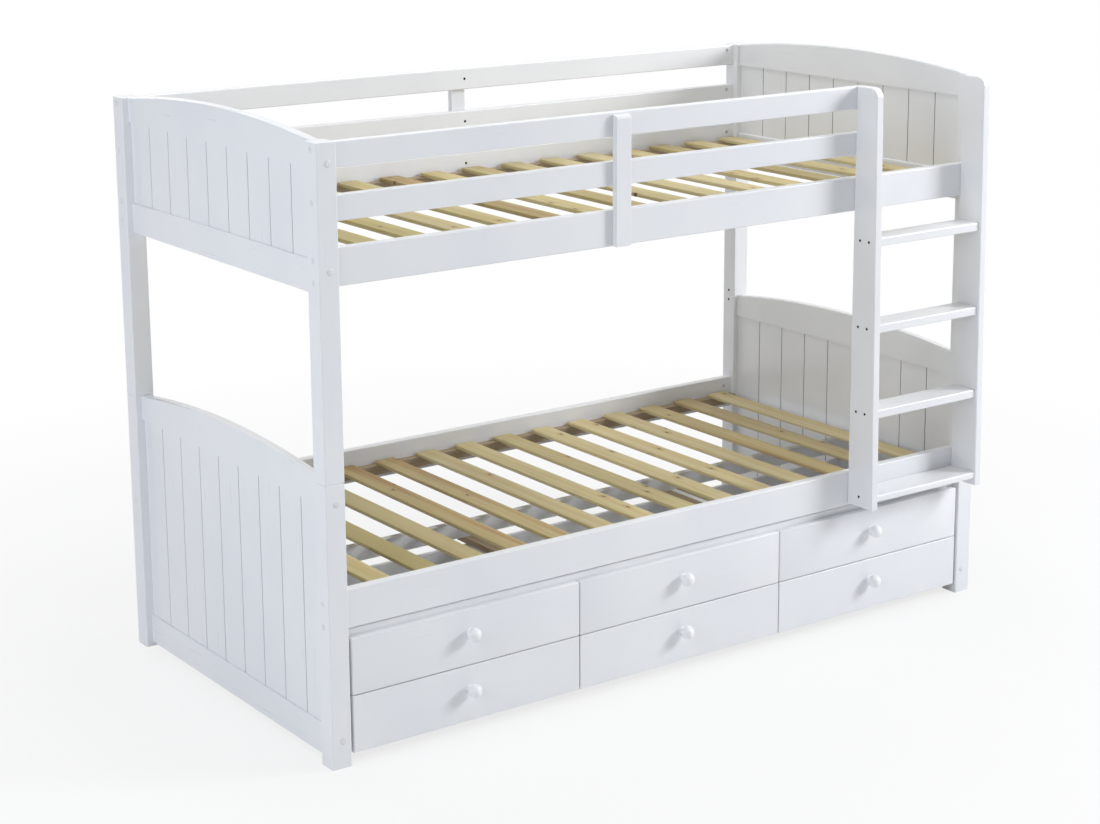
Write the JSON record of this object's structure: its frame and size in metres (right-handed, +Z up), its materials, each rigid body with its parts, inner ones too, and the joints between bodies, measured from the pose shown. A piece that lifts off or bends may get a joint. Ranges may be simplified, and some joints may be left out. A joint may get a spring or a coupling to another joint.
{
  "type": "bunk bed",
  "caption": "White wooden bunk bed with arched grooved ends, slatted bases, guard rails, a fixed upright ladder and rows of knobbed drawers under the lower bunk.",
  "frame": {"origin": "on the floor, in the middle of the rectangle that the bed and its ladder take up", "axes": "+X along the bed towards the end with the ladder, +Y from the drawer side to the rear, +Z up"},
  "size_m": [2, 1.072, 1.439],
  "materials": {
    "white_lacquer": "satin white lacquer, grain barely showing",
    "white_knob": "semi-gloss white lacquer on turned wood",
    "pine": "planed and unfinished, with knots",
    "beech": "plain turned",
    "zinc_steel": "zinc plated",
    "white_plastic": "moulded, slightly satin"
  },
  "bodies": {
    "bed_frame": {"barrel_nuts": "zinc_steel", "bolt_caps": "white_plastic", "bolt_plugs": "white_plastic", "drawer_runners": "pine", "drawer_unit_panels": "white_lacquer", "drawer_unit_rails": "white_lacquer", "guard_rails_front": "white_lacquer", "guard_rails_rear": "white_lacquer", "guard_uprights": "white_lacquer", "ladder_rungs": "white_lacquer", "ladder_step": "white_lacquer", "ladder_stile_left": "white_lacquer", "ladder_stile_right": "white_lacquer", "lower_left_end_boards": "white_lacquer", "lower_left_end_bottom_rail": "white_lacquer", "lower_left_end_top_rail": "white_lacquer", "lower_post_front_left": "white_lacquer", "lower_post_front_right": "white_lacquer", "lower_post_rear_left": "white_lacquer", "lower_post_rear_right": "white_lacquer", "lower_right_end_boards": "white_lacquer", "lower_right_end_bottom_rail": "white_lacquer", "lower_right_end_top_rail": "white_lacquer", "lower_side_rail_front": "white_lacquer", "lower_side_rail_rear": "white_lacquer", "post_dowels": "beech", "rail_bolts": "zinc_steel", "slat_ledgers": "pine", "slats_lower": "pine", "slats_upper": "pine", "upper_left_end_boards": "white_lacquer", "upper_left_end_bottom_rail": "white_lacquer", "upper_left_end_top_rail": "white_lacquer", "upper_post_front_left": "white_lacquer", "upper_post_front_right": "white_lacquer", "upper_post_rear_left": "white_lacquer", "upper_post_rear_right": "white_lacquer", "upper_right_end_boards": "white_lacquer", "upper_right_end_bottom_rail": "white_lacquer", "upper_right_end_top_rail": "white_lacquer", "upper_side_rail_front": "white_lacquer", "upper_side_rail_rear": "white_lacquer"},
    "drawer_lower_1": {"drawer_front_lower_1": "white_lacquer", "drawer_box_lower_1": "white_lacquer", "drawer_knob_lower_1": "white_knob"},
    "drawer_lower_2": {"drawer_front_lower_2": "white_lacquer", "drawer_box_lower_2": "white_lacquer", "drawer_knob_lower_2": "white_knob"},
    "drawer_lower_3": {"drawer_front_lower_3": "white_lacquer", "drawer_box_lower_3": "white_lacquer", "drawer_knob_lower_3": "white_knob"},
    "drawer_upper_1": {"drawer_front_upper_1": "white_lacquer", "drawer_box_upper_1": "white_lacquer", "drawer_knob_upper_1": "white_knob"},
    "drawer_upper_2": {"drawer_front_upper_2": "white_lacquer", "drawer_box_upper_2": "white_lacquer", "drawer_knob_upper_2": "white_knob"},
    "drawer_upper_3": {"drawer_front_upper_3": "white_lacquer", "drawer_box_upper_3": "white_lacquer", "drawer_knob_upper_3": "white_knob"}
  },
  "joints": [
    {"name": "drawer_lower_1_slide", "type": "slide", "parent": "bed_frame", "child": "drawer_lower_1", "axis": [0, -1, 0], "range_m": [0, 0.3]},
    {"name": "drawer_lower_2_slide", "type": "slide", "parent": "bed_frame", "child": "drawer_lower_2", "axis": [0, -1, 0], "range_m": [0, 0.3]},
    {"name": "drawer_lower_3_slide", "type": "slide", "parent": "bed_frame", "child": "drawer_lower_3", "axis": [0, -1, 0], "range_m": [0, 0.3]},
    {"name": "drawer_upper_1_slide", "type": "slide", "parent": "bed_frame", "child": "drawer_upper_1", "axis": [0, -1, 0], "range_m": [0, 0.3]},
    {"name": "drawer_upper_2_slide", "type": "slide", "parent": "bed_frame", "child": "drawer_upper_2", "axis": [0, -1, 0], "range_m": [0, 0.3]},
    {"name": "drawer_upper_3_slide", "type": "slide", "parent": "bed_frame", "child": "drawer_upper_3", "axis": [0, -1, 0], "range_m": [0, 0.3]}
  ]
}
